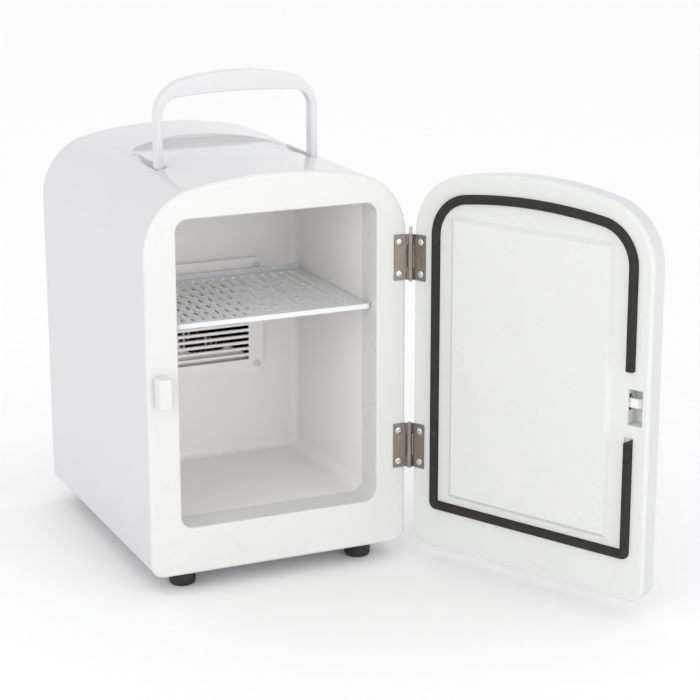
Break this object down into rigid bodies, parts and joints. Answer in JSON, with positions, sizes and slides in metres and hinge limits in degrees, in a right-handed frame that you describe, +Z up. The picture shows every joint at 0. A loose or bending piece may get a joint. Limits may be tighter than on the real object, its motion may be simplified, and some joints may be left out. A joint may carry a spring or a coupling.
{
  "type": "thermoelectric mini fridge",
  "caption": "Small arched-top thermoelectric fridge with a side-hinged insulated door, a sliding latch, a lift-out shelf and a folding carry handle.",
  "frame": {"origin": "on the floor, under the middle of the whole model's box with the door standing open at 116 degrees", "axes": "+Z up, -Y out of the front opening, +X towards the hinge side"},
  "size_m": [0.2878, 0.3932, 0.3373],
  "materials": {
    "housing_plastic": "high gloss white moulded ABS",
    "fascia_plastic": "semi-gloss warm white moulded ABS",
    "liner_plastic": "satin grey-white moulded polypropylene",
    "foam": "cream foamed polyurethane",
    "fan_plastic": "black moulded PBT",
    "sink_aluminium": "extruded, machined base",
    "screw_steel": "zinc plated",
    "ceramic": "white alumina faces with sealed edge",
    "board": "green solder mask",
    "board_parts": "wound parts and capacitor sleeves",
    "black_plastic": "black moulded nylon",
    "switch_plastic": "red rocker",
    "lamp_plastic": "tinted lamp lens",
    "foot_rubber": "black, matt",
    "gasket_rubber": "black closed-cell foam rubber",
    "handle_plastic": "high gloss white",
    "shelf_plastic": "milky translucent styrene",
    "hinge_steel": "brushed, slightly dull",
    "hinge_pin_steel": "bright steel",
    "latch_plastic": "white acetal"
  },
  "bodies": {
    "cabinet": {"housing_shell": "housing_plastic", "front_frame": "fascia_plastic", "door_catch": "fascia_plastic", "liner": "liner_plastic", "insulation_foam": "foam", "inner_grille": "liner_plastic", "grille_screws": "screw_steel", "inner_fan_frame": "fan_plastic", "cold_sink": "sink_aluminium", "spacer_block": "sink_aluminium", "peltier_module": "ceramic", "hot_sink": "sink_aluminium", "heatsink_screws": "screw_steel", "rear_fan_frame": "fan_plastic", "rear_fan_screws": "screw_steel", "back_cover": "housing_plastic", "back_cover_screws": "screw_steel", "power_board": "board", "power_transformer": "board_parts", "power_capacitors": "board_parts", "board_screws": "screw_steel", "ac_inlet": "black_plastic", "dc_socket": "black_plastic", "mode_switch_body": "black_plastic", "status_lamps": "lamp_plastic", "feet": "foot_rubber", "foot_screws": "screw_steel", "handle_pins": "screw_steel", "upper_hinge_body_leaf": "hinge_steel", "lower_hinge_body_leaf": "hinge_steel", "upper_hinge_pin": "hinge_pin_steel", "lower_hinge_pin": "hinge_pin_steel", "body_hinge_screws": "hinge_pin_steel"},
    "door": {"door_shell": "housing_plastic", "door_inner_panel": "fascia_plastic", "door_foam": "foam", "door_gasket": "gasket_rubber", "upper_hinge_door_leaf": "hinge_steel", "lower_hinge_door_leaf": "hinge_steel", "door_hinge_screws": "hinge_pin_steel", "latch_spring": "screw_steel", "latch_retainer": "latch_plastic", "latch_retainer_screws": "screw_steel"},
    "latch": {"latch_bolt": "latch_plastic", "latch_button": "latch_plastic"},
    "handle": {"carry_handle": "handle_plastic"},
    "rear_fan": {"rear_fan_rotor": "fan_plastic"},
    "inner_fan": {"inner_fan_rotor": "fan_plastic"},
    "mode_rocker": {"mode_switch_rocker": "switch_plastic"},
    "shelf": {"shelf": "shelf_plastic"}
  },
  "joints": [
    {"name": "door_hinge", "type": "hinge", "parent": "cabinet", "child": "door", "pos_m": [0.04362, -0.02895, 0.1325], "axis": [0, 0, 1], "range_deg": [-116, 60]},
    {"name": "latch_slide", "type": "slide", "parent": "door", "child": "latch", "axis": [-0.4384, 0.8988, 0], "range_m": [0, 0.0075], "stiffness_N_per_m": 200, "springref_m": -0.01},
    {"name": "handle_pivot", "type": "hinge", "parent": "cabinet", "child": "handle", "pos_m": [-0.05118, 0.04715, 0.269], "axis": [-1, 0, 0], "range_deg": [0, 78]},
    {"name": "shelf_slide", "type": "slide", "parent": "cabinet", "child": "shelf", "axis": [0, -1, 0], "range_m": [0, 0.12]},
    {"name": "rear_fan_spin", "type": "hinge", "parent": "cabinet", "child": "rear_fan", "pos_m": [-0.05118, 0.18215, 0.15], "axis": [0, 1, 0], "continuous": true},
    {"name": "inner_fan_spin", "type": "hinge", "parent": "cabinet", "child": "inner_fan", "pos_m": [-0.05118, 0.11915, 0.15], "axis": [0, 1, 0], "continuous": true},
    {"name": "mode_rocker_tilt", "type": "hinge", "parent": "cabinet", "child": "mode_rocker", "pos_m": [-0.00718, 0.18915, 0.079], "axis": [0, 0, 1], "range_deg": [-8, 8]}
  ]
}
